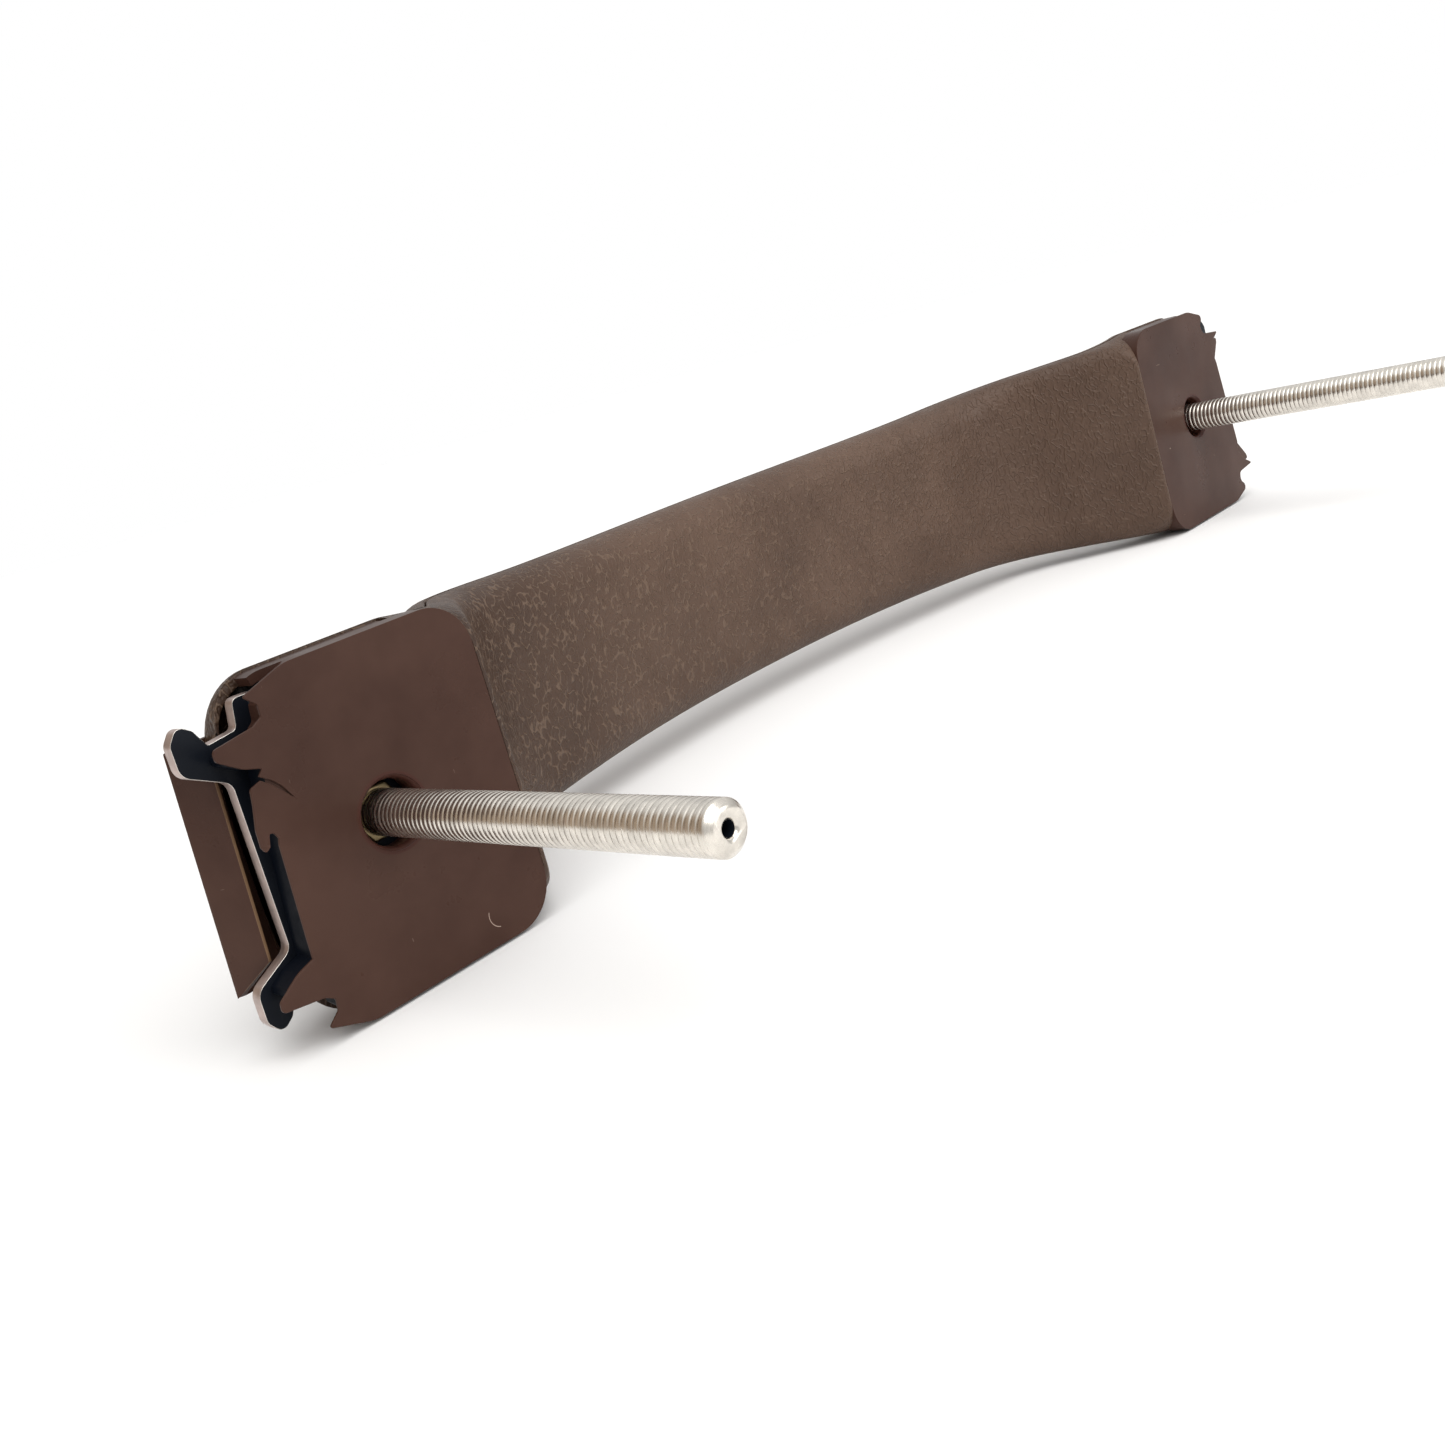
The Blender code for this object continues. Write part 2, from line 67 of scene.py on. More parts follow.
# The bow's bend next to the plates: a crease at the back that opens into a round bend at CREASE_DEPTH
SHOULDER_X = 116.0 * MM
SHOULDER_ANGLE = math.radians(57)
ARC_END_ANGLE = math.radians(10.7)
SHOULDER_RADIUS = 15.2 * MM
SHOULDER_GROWTH = 0.48
CREASE_RADIUS = 1.2 * MM
CREASE_SHIFT = 3.9 * MM
CREASE_DEPTH = 8.0 * MM
# The bend from the shoulder into the long shallow arc of the grip
HAUNCH_RADIUS = 31 * MM
ARC_RADIUS = 323 * MM
CORNER_RADIUS = 8 * MM
CORNER_X = STUD_X + 11.5 * MM
BODY_END_X = CORNER_X + CORNER_RADIUS
FLAT_START_X = 135 * MM
FLAT_STEP = 4 * MM
BACK_EDGE = 8.0 * MM
FRONT_EDGE = 7.0 * MM
BACK_SKIN = 5.4 * MM
FRONT_SKIN = 2.0 * MM
PARTING = 10.0 * MM
END_SKEW = 0.076
ENDS = {"right": 1, "left": -1}

# Layers of the ends, as depths below the mounting plane
SKIN_THICKNESS = 0.45 * MM
PLATE_BOTTOM = 5.5 * MM
STRIP_TOP = 5.8 * MM
STRIP_BOTTOM = 8.4 * MM
FOAM_TOP = 8.7 * MM
PLATE_INNER_X = 120.8 * MM
PLATE_INNER_RADIUS = 8.5 * MM
COVER_END_X = 132 * MM
SEAT_GAP = 0.05 * MM
CUT_START_X = STUD_X + 17 * MM

# Studs
STUD_RADIUS = 4.0 * MM
STUD_TIP = 80.4 * MM
STUD_FOOT = -15.0 * MM
PITCH = 1.25 * MM
THREAD_DEPTH = 0.13 * MM
COLLAR_TOP = 4.4 * MM
COLLAR_RADIUS = 5.31 * MM


# ---------------------------------------------------------------- shape helpers

def piece_from(bm, name, materials, replaces=(), smooth=40, planar=False):
    """A finished piece that rides with the handle. A planar one keeps its level faces flat-shaded."""
    bmesh.ops.recalc_face_normals(bm, faces=bm.faces)
    mesh = bpy.data.meshes.new(name)
    bm.to_mesh(mesh)
    bm.free()
    mesh.shade_smooth()
    mesh.set_sharp_from_angle(angle=math.radians(smooth))
    if planar:
        for face in mesh.polygons:
            face.use_smooth = abs(face.normal.y) < 0.999
    obj = bpy.data.objects.new(name, mesh)
    bpy.context.scene.collection.objects.link(obj)
    for material in materials:
        mesh.materials.append(material)
    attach(obj, "root")
    if replaces:
        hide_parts(*replaces)
    return obj


def carve(bm, cutters):
    """The mesh of bm with the solids of cutters taken away."""
    made = []
    for index, source in enumerate([bm] + cutters):
        bmesh.ops.recalc_face_normals(source, faces=source.faces)
        mesh = bpy.data.meshes.new("carve")
        source.to_mesh(mesh)
        source.free()
        obj = bpy.data.objects.new("carve", mesh)
        bpy.context.scene.collection.objects.link(obj)
        made.append(obj)
        if index:
            modifier = made[0].modifiers.new("cut", "BOOLEAN")
            modifier.operation = "DIFFERENCE"
            modifier.solver = "EXACT"
            modifier.object = obj
    bpy.context.view_layer.update()
    evaluated = made[0].evaluated_get(bpy.context.evaluated_depsgraph_get())
    cut_bm = bmesh.new()
    cut_bm.from_mesh(bpy.data.meshes.new_from_object(evaluated))
    for obj in made:
        bpy.data.objects.remove(obj, do_unlink=True)
    return cut_bm


def fillet(before, corner, after, radius, steps):
    """The points of an arc that rounds a corner between two straight runs."""
    to_before = (Vector(before) - Vector(corner)).normalized()
    to_after = (Vector(after) - Vector(corner)).normalized()
    half = to_before.angle(to_after) / 2
    centre = Vector(corner) + (to_before + to_after).normalized() * radius / math.sin(half)
    start = Vector(corner) + to_before * radius / math.tan(half) - centre
    turn = 1 if to_before.x * to_after.y - to_before.y * to_after.x < 0 else -1
    sweep = turn * (math.pi - 2 * half)
    return [centre + Matrix.Rotation(sweep * step / steps, 2) @ start for step in range(steps + 1)]


def rounded(corners):
    """A closed outline from (x, z, radius) corners, each rounded with an arc."""
    points = []
    count = len(corners)
    for index, (x, z, radius) in enumerate(corners):
        before, after = corners[index - 1], corners[(index + 1) % count]
        if radius == 0:
            points.append(Vector((x, z)))
            continue
        points.extend(fillet(before[:2], (x, z), after[:2], radius, 7 + int(radius / MM)))
    return points


def runs_between(groups, step):
    """Joins point groups, with each straight run between them in so many steps."""
    line = list(groups[0])
    for group in groups[1:]:
        start, end = Vector(line[-1]), Vector(group[0])
        line += [start.lerp(end, index / step) for index in range(1, step)]
        line += group
    return line


def bow_line(depth):
    """The handle's side view between its flat ends, so far below the back face, as (x, y) points."""
    slope, shallow = math.tan(SHOULDER_ANGLE), math.tan(ARC_END_ANGLE)
    stretch = 1 / math.cos(ARC_END_ANGLE)
    apex_y = -BOW_DEPTH - ARC_RADIUS * (stretch - 1) - depth * stretch
    share = min(depth / CREASE_DEPTH, 1.0)
    shift = CREASE_SHIFT * (1 - share) ** 2
    shoulder = (SHOULDER_X + shift + depth * math.tan(SHOULDER_ANGLE / 2), -depth)
    haunch_x = (-depth - shoulder[0] * slope - apex_y) / (shallow - slope)
    haunch = (haunch_x, apex_y + haunch_x * shallow)
    apex = (0.0, apex_y)
    radius = CREASE_RADIUS + (SHOULDER_RADIUS - CREASE_RADIUS) * share
    radius += SHOULDER_GROWTH * max(depth - CREASE_DEPTH, 0.0)
    right = fillet(haunch, shoulder, (STUD_X, -depth), radius, 14)
    turn = fillet(apex, haunch, shoulder, HAUNCH_RADIUS + depth, 14)
    middle = fillet((-haunch[0], haunch[1]), apex, haunch, ARC_RADIUS + depth, 44)
    mirror = [[Vector((-p.x, p.y)) for p in reversed(group)] for group in (turn, right)]
    return runs_between([mirror[1], mirror[0], middle, turn, right], 8)


def half_width(x):
    """Half the covers' width at a place along the handle, with its flare and rounded corners."""
    wide = GRIP_HALF + (PAD_HALF - GRIP_HALF) * min(abs(x) / FLARE_END, 1.0) ** FLARE_POWER
    past = min(max(abs(x) - CORNER_X, 0.0), CORNER_RADIUS)
    return wide - CORNER_RADIUS + math.sqrt(CORNER_RADIUS ** 2 - past ** 2)


def flat_stations(end_x):
    """Places along a flat end, closer together round its corner."""
    stations = []
    x = FLAT_START_X
    while x < CORNER_X:
        stations.append(x)
        x += FLAT_STEP
    stations += [CORNER_X + CORNER_RADIUS * math.sin(math.radians(angle)) for angle in range(0, 90, 9)]
    return [x for x in stations if x < end_x] + [end_x]


def loft(section, end_x, width=half_width):
    """A solid swept along the bow. section holds (depth, inset, share, side), and share scales what
    the inset leaves of the half width."""
    bm = bmesh.new()
    grid = []
    for depth, inset, share, side in section:
        flats = [Vector((x, -depth)) for x in flat_stations(end_x)]
        far_flats = [Vector((-p.x, p.y)) for p in reversed(flats)]
        row = []
        for point in far_flats + bow_line(depth) + flats:
            z = side * (width(point.x) - inset) * share
            row.append(bm.verts.new((point.x, point.y, z)))
        grid.append(row)
    for index, row in enumerate(grid):
        following = grid[(index + 1) % len(grid)]
        for station in range(len(row) - 1):
            bm.faces.new((row[station], row[station + 1], following[station + 1], following[station]))
    bm.faces.new([row[0] for row in grid])
    bm.faces.new([row[-1] for row in reversed(grid)])
    return bm


def arc(centre, radius, start, end, steps):
    """Points on an arc between two angles in degrees."""
    angles = [math.radians(start + (end - start) * step / steps) for step in range(steps + 1)]
    return [(centre[0] + radius * math.cos(a), centre[1] + radius * math.sin(a)) for a in angles]


def ring_section(half_outer, half_inner):
    """A closed section from the outer and inner halves, each listed from the side to the middle."""
    outer = [(*item, 1) for item in half_outer]
    outer += [(*item, -1) for item in reversed(half_outer) if item[2] != 0]
    inner = [(*item, -1) for item in half_inner]
    inner += [(*item, 1) for item in reversed(half_inner) if item[2] != 0]
    return outer + inner


def round_edges(bm, edges, width, steps):
    bmesh.ops.bevel(bm, geom=edges, offset=width, segments=steps, profile=0.5, affect="EDGES",
                    clamp_overlap=True)
    bm.normal_update()


def slab(outline, top, bottom, edge=0.0, steps=2):
    """An outline in X and Z extruded along Y, with its upper rim rounded."""
    bm = bmesh.new()
    face = bm.faces.new([bm.verts.new((p[0], top, p[1])) for p in outline])
    made = bmesh.ops.extrude_face_region(bm, geom=[face])
    moved = [item for item in made["geom"] if isinstance(item, bmesh.types.BMVert)]
    bmesh.ops.translate(bm, verts=moved, vec=(0, bottom - top, 0))
    bmesh.ops.recalc_face_normals(bm, faces=bm.faces)
    if edge:
        round_edges(bm, [e for e in bm.edges if all(abs(v.co.y - top) < CLOSE for v in e.verts)], edge, steps)
    return bm


def turned(profile, x, steps=72, closed=False):
    """A solid of revolution about a stud's line. profile holds (radius, y) corners."""
    bm = bmesh.new()
    rings = []
    for radius, y in profile:
        angles = [math.tau * k / steps for k in range(steps)] if radius else [0.0]
        rings.append([bm.verts.new((x + radius * math.cos(a), y, radius * math.sin(a))) for a in angles])
    pairs = list(zip(rings, rings[1:]))
    if closed:
        pairs.append((rings[-1], rings[0]))
    for lower, upper in pairs:
        for k in range(steps):
            j = (k + 1) % steps
            corners = [ring[n % len(ring)] for ring, n in ((lower, k), (lower, j), (upper, j), (upper, k))]
            bm.faces.new(list(dict.fromkeys(corners)))
    return bm


def merge(target, *others):
    """Adds the shapes of others to target, as they are."""
    for other in others:
        mesh = bpy.data.meshes.new("merge")
        other.to_mesh(mesh)
        other.free()
        target.from_mesh(mesh)
        bpy.data.meshes.remove(mesh)
    return target


# ---------------------------------------------------------------- materials

class Nodes:
    """Short ways to build one material's node tree."""

    def __init__(self, name, colour, roughness, metallic=0.0, specular=0.5):
        self.material = bpy.data.materials.new(name)
        self.material.use_nodes = True
        self.tree = self.material.node_tree
        self.shader = self.tree.nodes["Principled BSDF"]
        self.shader.inputs["Base Color"].default_value = (*colour, 1)
        self.shader.inputs["Roughness"].default_value = roughness
        self.shader.inputs["Metallic"].default_value = metallic
        self.shader.inputs["Specular IOR Level"].default_value = specular
        self.place = self.tree.nodes.new("ShaderNodeTexCoord").outputs["Object"]

    def add(self, kind, inputs=None, **settings):
        node = self.tree.nodes.new(kind)
        for key, value in settings.items():
            setattr(node, key, value)
        for key, value in (inputs or {}).items():
            if isinstance(value, bpy.types.NodeSocket):
                self.tree.links.new(value, node.inputs[key])
            else:
                node.inputs[key].default_value = value
        return node

    def link(self, output, name):
        self.tree.links.new(output, self.shader.inputs[name])

    def math(self, operation, a, b=0.0, c=0.0):
        return self.add("ShaderNodeMath", {0: a, 1: b, 2: c}, operation=operation).outputs[0]

    def vector(self, operation, a, b):
        return self.add("ShaderNodeVectorMath", {0: a, 1: b}, operation=operation).outputs[0]

    def noise(self, scale, detail=3.0, rough=0.55, place=None):
        inputs = {"Vector": place or self.place, "Scale": scale, "Detail": detail, "Roughness": rough}
        return self.add("ShaderNodeTexNoise", inputs).outputs["Fac"]

    def voronoi(self, scale, feature="F1", place=None, output="Distance"):
        inputs = {"Vector": place or self.place, "Scale": scale}
        return self.add("ShaderNodeTexVoronoi", inputs, feature=feature).outputs[output]

    def span(self, value, low, high, to_low=0.0, to_high=1.0, smooth=False):
        inputs = {"Value": value, "From Min": low, "From Max": high, "To Min": to_low, "To Max": to_high}
        node = self.add("ShaderNodeMapRange", inputs)
        if smooth:
            node.interpolation_type = "SMOOTHSTEP"
        return node.outputs[0]

    def mix(self, factor, first, second):
        node = self.add("ShaderNodeMix", data_type="RGBA")
        for key, value in ((0, factor), (6, first), (7, second)):
            if isinstance(value, bpy.types.NodeSocket):
                self.tree.links.new(value, node.inputs[key])
            elif key:
                node.inputs[key].default_value = (*value, 1)
            else:
                node.inputs[key].default_value = value
        return node.outputs[2]

    def bump(self, height, distance, strength=1.0, normal=None):
        inputs = {"Height": height, "Distance": distance, "Strength": strength}
        if normal is not None:
            inputs["Normal"] = normal
        return self.add("ShaderNodeBump", inputs).outputs["Normal"]

    def length(self, x, z):
        flat = self.add("ShaderNodeCombineXYZ", {"X": x, "Z": z}).outputs[0]
        return self.add("ShaderNodeVectorMath", {0: flat}, operation="LENGTH").outputs["Value"]

    def scratch(self, centre, radius, from_x, to_z):
        """A hairline arc round a centre in X and Z, kept to the side past from_x and below to_z."""
        parts = self.add("ShaderNodeSeparateXYZ", {0: self.place})
        across = self.math("SUBTRACT", parts.outputs["X"], centre[0])
        upward = self.math("SUBTRACT", parts.outputs["Z"], centre[1])
        line = self.math("COMPARE", self.length(across, upward), radius, 0.07 * MM)
        line = self.math("MULTIPLY", line, self.math("GREATER_THAN", parts.outputs["X"], from_x))
        return self.math("MULTIPLY", line, self.math("LESS_THAN", parts.outputs["Z"], to_z))

    def stud_distance(self):
        """Distance from the nearer stud's line, in metres."""
        parts = self.add("ShaderNodeSeparateXYZ", {0: self.place})
        across = self.math("SUBTRACT", self.math("ABSOLUTE", parts.outputs["X"]), STUD_X)
        return self.length(across, parts.outputs["Z"])


BROWN = (0.050, 0.0250, 0.0140)
BROWN_DARK = (0.032, 0.0150, 0.0080)
# Paler colour for the middle of the grip: painted sheen.
BROWN_SHEEN_LIT = (0.102, 0.060, 0.040)
# Paler ridge colour: partly the grain's own tone, partly painted highlight on the ridge tops.
BROWN_RIDGE_TONE_AND_HIGHLIGHT = (0.160, 0.106, 0.072)
SMOOTH_BROWN = (0.065, 0.0325, 0.0235)
SMOOTH_DARK = (0.041, 0.0185, 0.0130)
SCRATCHED = (0.36, 0.27, 0.22)
# Darker brown for the rim round the stud's hole: painted shade.
RIM_SHADE_BROWN = (0.052, 0.0185, 0.0135)
# Lighter browns for the tab's top edge: painted highlight.
EDGE_HIGHLIGHT_BROWN = (0.19, 0.115, 0.065)
EDGE_HIGHLIGHT_DARK = (0.11, 0.062, 0.035)


def grained_vinyl(name):
    """Dark brown vinyl with a grain of short wormy ridges, painted paler on the ridges (partly their own
    tone, partly painted highlight) and over the middle of the grip (painted sheen)."""
    n = Nodes(name, BROWN, 0.5, specular=0.3)
    wander = n.add("ShaderNodeTexNoise", {"Vector": n.place, "Scale": 300.0, "Detail": 1.0})
    shift = n.add("ShaderNodeVectorMath", {0: wander.outputs["Color"], 1: (0.5, 0.5, 0.5)},
                  operation="SUBTRACT").outputs[0]
    shift = n.add("ShaderNodeVectorMath", {0: shift, "Scale": 0.0020}, operation="SCALE").outputs[0]
    place = n.vector("MULTIPLY", n.vector("ADD", n.place, shift), (1.0, 1.0, 0.62))
    away = n.math("ABSOLUTE", n.math("SUBTRACT", n.noise(700.0, 0.0, place=place), 0.5))
    worm = n.span(away, 0.012, 0.090, 1.0, 0.0, True)
    broken = n.span(n.noise(640.0, 1.0), 0.32, 0.48, 0.0, 1.0, True)
    ridge = n.math("MULTIPLY", worm, broken)
    pebble = n.span(n.voronoi(900.0, "DISTANCE_TO_EDGE", place), 0.02, 0.30, 0.0, 1.0, True)
    fine = n.noise(3600.0, 3.0)
    height = n.math("ADD", n.math("MULTIPLY", ridge, 0.9), n.math("MULTIPLY", pebble, 0.35))
    height = n.math("ADD", height, n.math("MULTIPLY", fine, 0.14))
    along = n.add("ShaderNodeSeparateXYZ", {0: n.place}).outputs["X"]
    crisp = n.span(along, -0.09, 0.07, 0.10, 0.56)
    # Painted sheen: the grip is painted paler from its middle to the -X side, fading out towards the +X
    # shoulder and a little at the -X shoulder.
    painted_sheen = n.math("MULTIPLY", n.span(along, 0.015, 0.112, 1.0, 0.05, True),
                  n.span(along, -0.118, -0.078, 0.75, 1.0, True))
    painted_sheen = n.math("MULTIPLY", painted_sheen, n.span(n.noise(30.0, 3.0, 0.6), 0.30, 0.62, 0.5, 1.0))
    base = n.mix(n.span(n.noise(44.0, 4.0, 0.6), 0.34, 0.66), BROWN_DARK, BROWN)
    base = n.mix(painted_sheen, base, BROWN_SHEEN_LIT)
    # The ridges are painted paler, more strongly towards the +X end: partly the grain's tone, partly painted
    # highlight.
    base = n.mix(n.math("MULTIPLY", ridge, crisp), base, BROWN_RIDGE_TONE_AND_HIGHLIGHT)
    n.link(base, "Base Color")
    n.link(n.span(n.noise(150.0, 4.0), 0.3, 0.75, 0.40, 0.56), "Roughness")
    swell = n.bump(n.noise(26.0, 2.0), 0.9 * MM, 0.5)
    n.link(n.bump(height, 0.22 * MM, 0.9, swell), "Normal")
    return n.material


def smooth_vinyl(name, light=SMOOTH_BROWN, dark=SMOOTH_DARK):
    """The same vinyl pressed smooth: soft waves, fine specks and hairline scratches, and painted shade
    that darkens the rim where it turns down round the stud's hole."""
    n = Nodes(name, SMOOTH_BROWN, 0.34, specular=0.12)
    broad = n.noise(34.0, 4.0, 0.6)
    base = n.mix(n.span(broad, 0.32, 0.66), dark, light)
    stretched = n.vector("MULTIPLY", n.place, (90.0, 90.0, 820.0))
    crossed = n.vector("MULTIPLY", n.place, (760.0, 90.0, 120.0))
    hair = n.math("GREATER_THAN", n.noise(1.0, 2.0, place=stretched), 0.735)
    hair_2 = n.math("GREATER_THAN", n.noise(1.0, 2.0, place=crossed), 0.745)
    dot = n.voronoi(260.0, "F1", n.place)
    chosen = n.voronoi(260.0, "F1", n.place, "Color")
    sparse = n.math("GREATER_THAN", n.add("ShaderNodeSeparateColor", {0: chosen}).outputs[0], 0.93)
    speck = n.math("MULTIPLY", n.math("LESS_THAN", dot, 0.075), sparse)
    marks = n.math("MAXIMUM", n.math("MULTIPLY", n.math("MAXIMUM", hair, hair_2), 0.22),
                   n.math("MULTIPLY", speck, 0.75))
    curl = n.scratch((132.3 * MM, -24.7 * MM), 2.35 * MM, 133.0 * MM, -23.7 * MM)
    marks = n.math("MAXIMUM", marks, curl)
    base = n.mix(marks, base, SCRATCHED)
    # Painted shade: the skin is darkened where it turns down into the stud's hole.
    rim = n.span(n.stud_distance(), 6.80 * MM, 7.0 * MM, 1.0, 0.0, True)
    base = n.mix(n.math("MULTIPLY", rim, 0.85), base, RIM_SHADE_BROWN)
    n.link(base, "Base Color")
    rough = n.span(n.noise(60.0, 5.0, 0.65), 0.3, 0.75, 0.24, 0.40)
    n.link(n.math("ADD", rough, n.math("MULTIPLY", marks, 0.25)), "Roughness")
    swell = n.bump(n.noise(30.0, 2.0), 1.3 * MM, 0.6)
    peel = n.bump(n.noise(900.0, 2.0), 0.012 * MM, 0.6, swell)
    n.link(n.bump(marks, 0.008 * MM, 0.4, peel), "Normal")
    return n.material


def dark_core(name):
    """The near-black core that shows where the skin was cut."""
    n = Nodes(name, (0.003, 0.004, 0.007), 0.5, specular=0.05)
    n.link(n.mix(n.noise(140.0, 4.0), (0.002, 0.003, 0.0055), (0.0045, 0.006, 0.010)), "Base Color")
    n.link(n.span(n.noise(320.0, 4.0), 0.3, 0.7, 0.30, 0.50), "Roughness")
    n.link(n.bump(n.noise(700.0, 3.0), 0.04 * MM, 0.5), "Normal")
    return n.material


def bright_steel(name, base=(0.62, 0.59, 0.55), rough=(0.18, 0.34)):
    """Bare bright steel with fine brushing."""
    n = Nodes(name, base, rough[0], 1.0)
    brushed = n.vector("MULTIPLY", n.place, (300.0, 4200.0, 300.0))
    streak = n.noise(1.0, 4.0, place=brushed)
    dull = n.noise(420.0, 4.0, 0.6)
    darker = tuple(channel * 0.72 for channel in base)
    n.link(n.mix(n.span(dull, 0.35, 0.75), base, darker), "Base Color")
    n.link(n.span(streak, 0.3, 0.7, *rough), "Roughness")
    n.link(n.bump(streak, 0.01 * MM, 0.5), "Normal")
    return n.material


def blued_steel(name):
    n = Nodes(name, (0.005, 0.006, 0.009), 0.45, 0.0, 0.08)
    n.link(n.mix(n.noise(120.0, 4.0), (0.003, 0.004, 0.006), (0.008, 0.010, 0.015)), "Base Color")
    n.link(n.span(n.noise(260.0, 4.0), 0.3, 0.7, 0.26, 0.46), "Roughness")
    n.link(n.bump(n.noise(900.0, 3.0), 0.02 * MM, 0.5), "Normal")
    return n.material


def foam_material(name):
    n = Nodes(name, (0.035, 0.030, 0.028), 0.9, specular=0.3)
    cells = n.voronoi(1600.0, "F1")
    n.link(n.mix(cells, (0.05, 0.044, 0.040), (0.018, 0.016, 0.015)), "Base Color")
    n.link(n.bump(cells, 0.25 * MM, 0.8), "Normal")
    return n.material


GRAINED = grained_vinyl("grained_vinyl")
FRONT_GRAINED = grained_vinyl("front_grained_vinyl")
SMOOTH = smooth_vinyl("smooth_vinyl")
CORE = dark_core("dark_core")
# Lighter vinyl for the tab's top edge: painted highlight along the edge.
TAB_EDGE_HIGHLIGHT_VINYL = smooth_vinyl("tab_edge_painted_highlight", EDGE_HIGHLIGHT_BROWN, EDGE_HIGHLIGHT_DARK)
STUD_STEEL = bright_steel("stud_steel", (0.80, 0.755, 0.685), (0.20, 0.34))
BRASSY = bright_steel("stud_collar_brass", (0.26, 0.20, 0.11), (0.35, 0.5))
# Two copies of the strip's bright steel: duller and pinkish for the walls as painted reflection, brighter for
# the rounded rims as painted highlight.
STRIP_WALL_REFLECTION_STEEL = bright_steel("strip_wall_painted_reflection", (0.54, 0.445, 0.415), (0.38, 0.56))
STRIP_RIM_HIGHLIGHT_STEEL = bright_steel("strip_rim_painted_highlight", (0.72, 0.68, 0.63), (0.16, 0.28))
PLATED = bright_steel("plated_steel")
# Near-black blued steel, also put in the studs' bores as painted shade.
BLUED_AND_BORE_SHADE = blued_steel("blued_steel")
FOAM = foam_material("foam")


# ---------------------------------------------------------------- end outlines

def skewed(sign, corners):
    """(past the stud, z, radius) corners as (x, z, radius), with the ends' skew."""
    return [(sign * (STUD_X + past - END_SKEW * z), z, radius) for past, z, radius in corners]


# One half of an end, from the long side to the middle. The two ends were cut a little differently.
NEAR_HALF = [(12.5, 30.0, 9.0), (20.6, 27.2, 0.35), (18.4, 25.3, 0.5), (18.3, 23.3, 0.6), (20.0, 22.3, 0.8),
             (27.4, 21.2, 0.8), (27.3, 19.4, 0.9), (23.3, 16.7, 5.0), (20.3, 15.7, 0.15)]
FAR_HALF = [(12.0, 30.0, 8.0), (20.7, 27.3, 1.3), (17.0, 24.8, 1.7), (18.2, 22.2, 1.4), (27.0, 21.3, 0.3),
            (22.6, 19.0, 3.6), (20.2, 16.0, 1.1), (21.4, 13.0, 3.0)]
# A torn flap of skin at the near end's recess, from the middle towards the +Z corner
FLAP = [(20.8, 3.4, 0.2), (20.6, 4.5, 0.2), (21.2, 5.5, 0.3), (21.9, 5.7, 0.2), (22.3, 3.7, 0.5),
        (23.2, 3.1, 0.4), (23.8, 4.2, 0.5), (23.9, 7.0, 2.0), (23.3, 10.8, 3.0), (23.1, 13.4, 0.8),
        (21.1, 14.05, 0.1), (19.5, 12.8, 1.0), (18.2, 11.4, 1.0), (16.4, 9.5, 0.0), (17.8, 11.8, 1.0),
        (19.2, 13.3, 1.0), (21.2, 14.7, 0.1)]
# The core's long-side corner, cut back under the skin's teeth
CORE_CORNER = [(9.0, 30.0, 8.0), (14.6, 28.0, 1.0), (17.4, 25.0, 0.4), (17.5, 22.4, 0.7), (19.5, 20.7, 0.8),
               (26.0, 19.5, 0.5), (25.6, 18.2, 0.5)]
# The strip's end: a notch in each side, an ear past it and a shallow recess between the ears
STRIP_HALF = [(12.0, 26.8, 0), (17.6, 26.8, 1.2), (18.4, 22.0, 1.0), (23.6, 21.4, 0.5), (25.2, 24.4, 1.4),
              (27.4, 26.0, 1.4), (29.35, 23.4, 2.0), (29.3, 18.2, 2.6), (21.95, 14.3, 2.2)]
STRIP_REACH_X = STUD_X + 33 * MM
EAR_START_X = 160 * MM
STRIP_NARROW = 16.9 * MM
STRIP_WIDENING = 9.9 * MM
STRIP_TAPER_X = 127 * MM
STRIP_TAPER_LENGTH = 11 * MM


def in_metres(corners):
    return [(a * MM, b * MM, c * MM) for a, b, c in corners]


def mirrored(half):
    return [(past, -z, radius) for past, z, radius in reversed(half)]


def plate_corners(sign, half, flap=()):
    upper = in_metres(half)
    end = skewed(sign, upper + in_metres(reversed(flap)) + mirrored(upper))
    return end + [(sign * PLATE_INNER_X, side_z * PAD_HALF, PLATE_INNER_RADIUS) for side_z in (-1, 1)]


# ---------------------------------------------------------------- pieces

def build_grip_back():
    """The grained back cover, with a seat for the inner edge of each plate."""
    edge = [(depth, inset, 1) for inset, depth in arc((BACK_EDGE, BACK_EDGE), BACK_EDGE, 180, 270, 14)]
    lip = [(PARTING, 0.35 * MM, 1), (PARTING - 0.12 * MM, 0.1 * MM, 1), (PARTING - 0.4 * MM, 0.0, 1)]
    face = [(0.0, BACK_EDGE, share) for share in (0.8, 0.6, 0.4, 0.2, 0)]
    radius = BACK_EDGE - BACK_SKIN
    inner_edge = [(depth, inset, 1) for inset, depth in arc((BACK_EDGE, BACK_EDGE), radius, 180, 270, 4)]
    outer = lip + edge + face
    inner = [(PARTING, BACK_SKIN, 1)] + inner_edge + [(BACK_SKIN, BACK_EDGE, 0)]
    cover = loft(ring_section(outer, inner), COVER_END_X - GAP)
    cutters = []
    seat_radius, seat_x, seat_z = PLATE_INNER_RADIUS + SEAT_GAP, PLATE_INNER_X - SEAT_GAP, PAD_HALF + SEAT_GAP
    for sign in ENDS.values():
        corners = [(sign * seat_x, -seat_z, seat_radius), (sign * seat_x, seat_z, seat_radius),
                   (sign * STUD_X, seat_z, 0), (sign * STUD_X, -seat_z, 0)]
        cutters.append(slab(rounded(corners), 3 * MM, -STRIP_TOP))
    return piece_from(carve(cover, cutters), "grip_back", [GRAINED], ["grip_back_cover"])


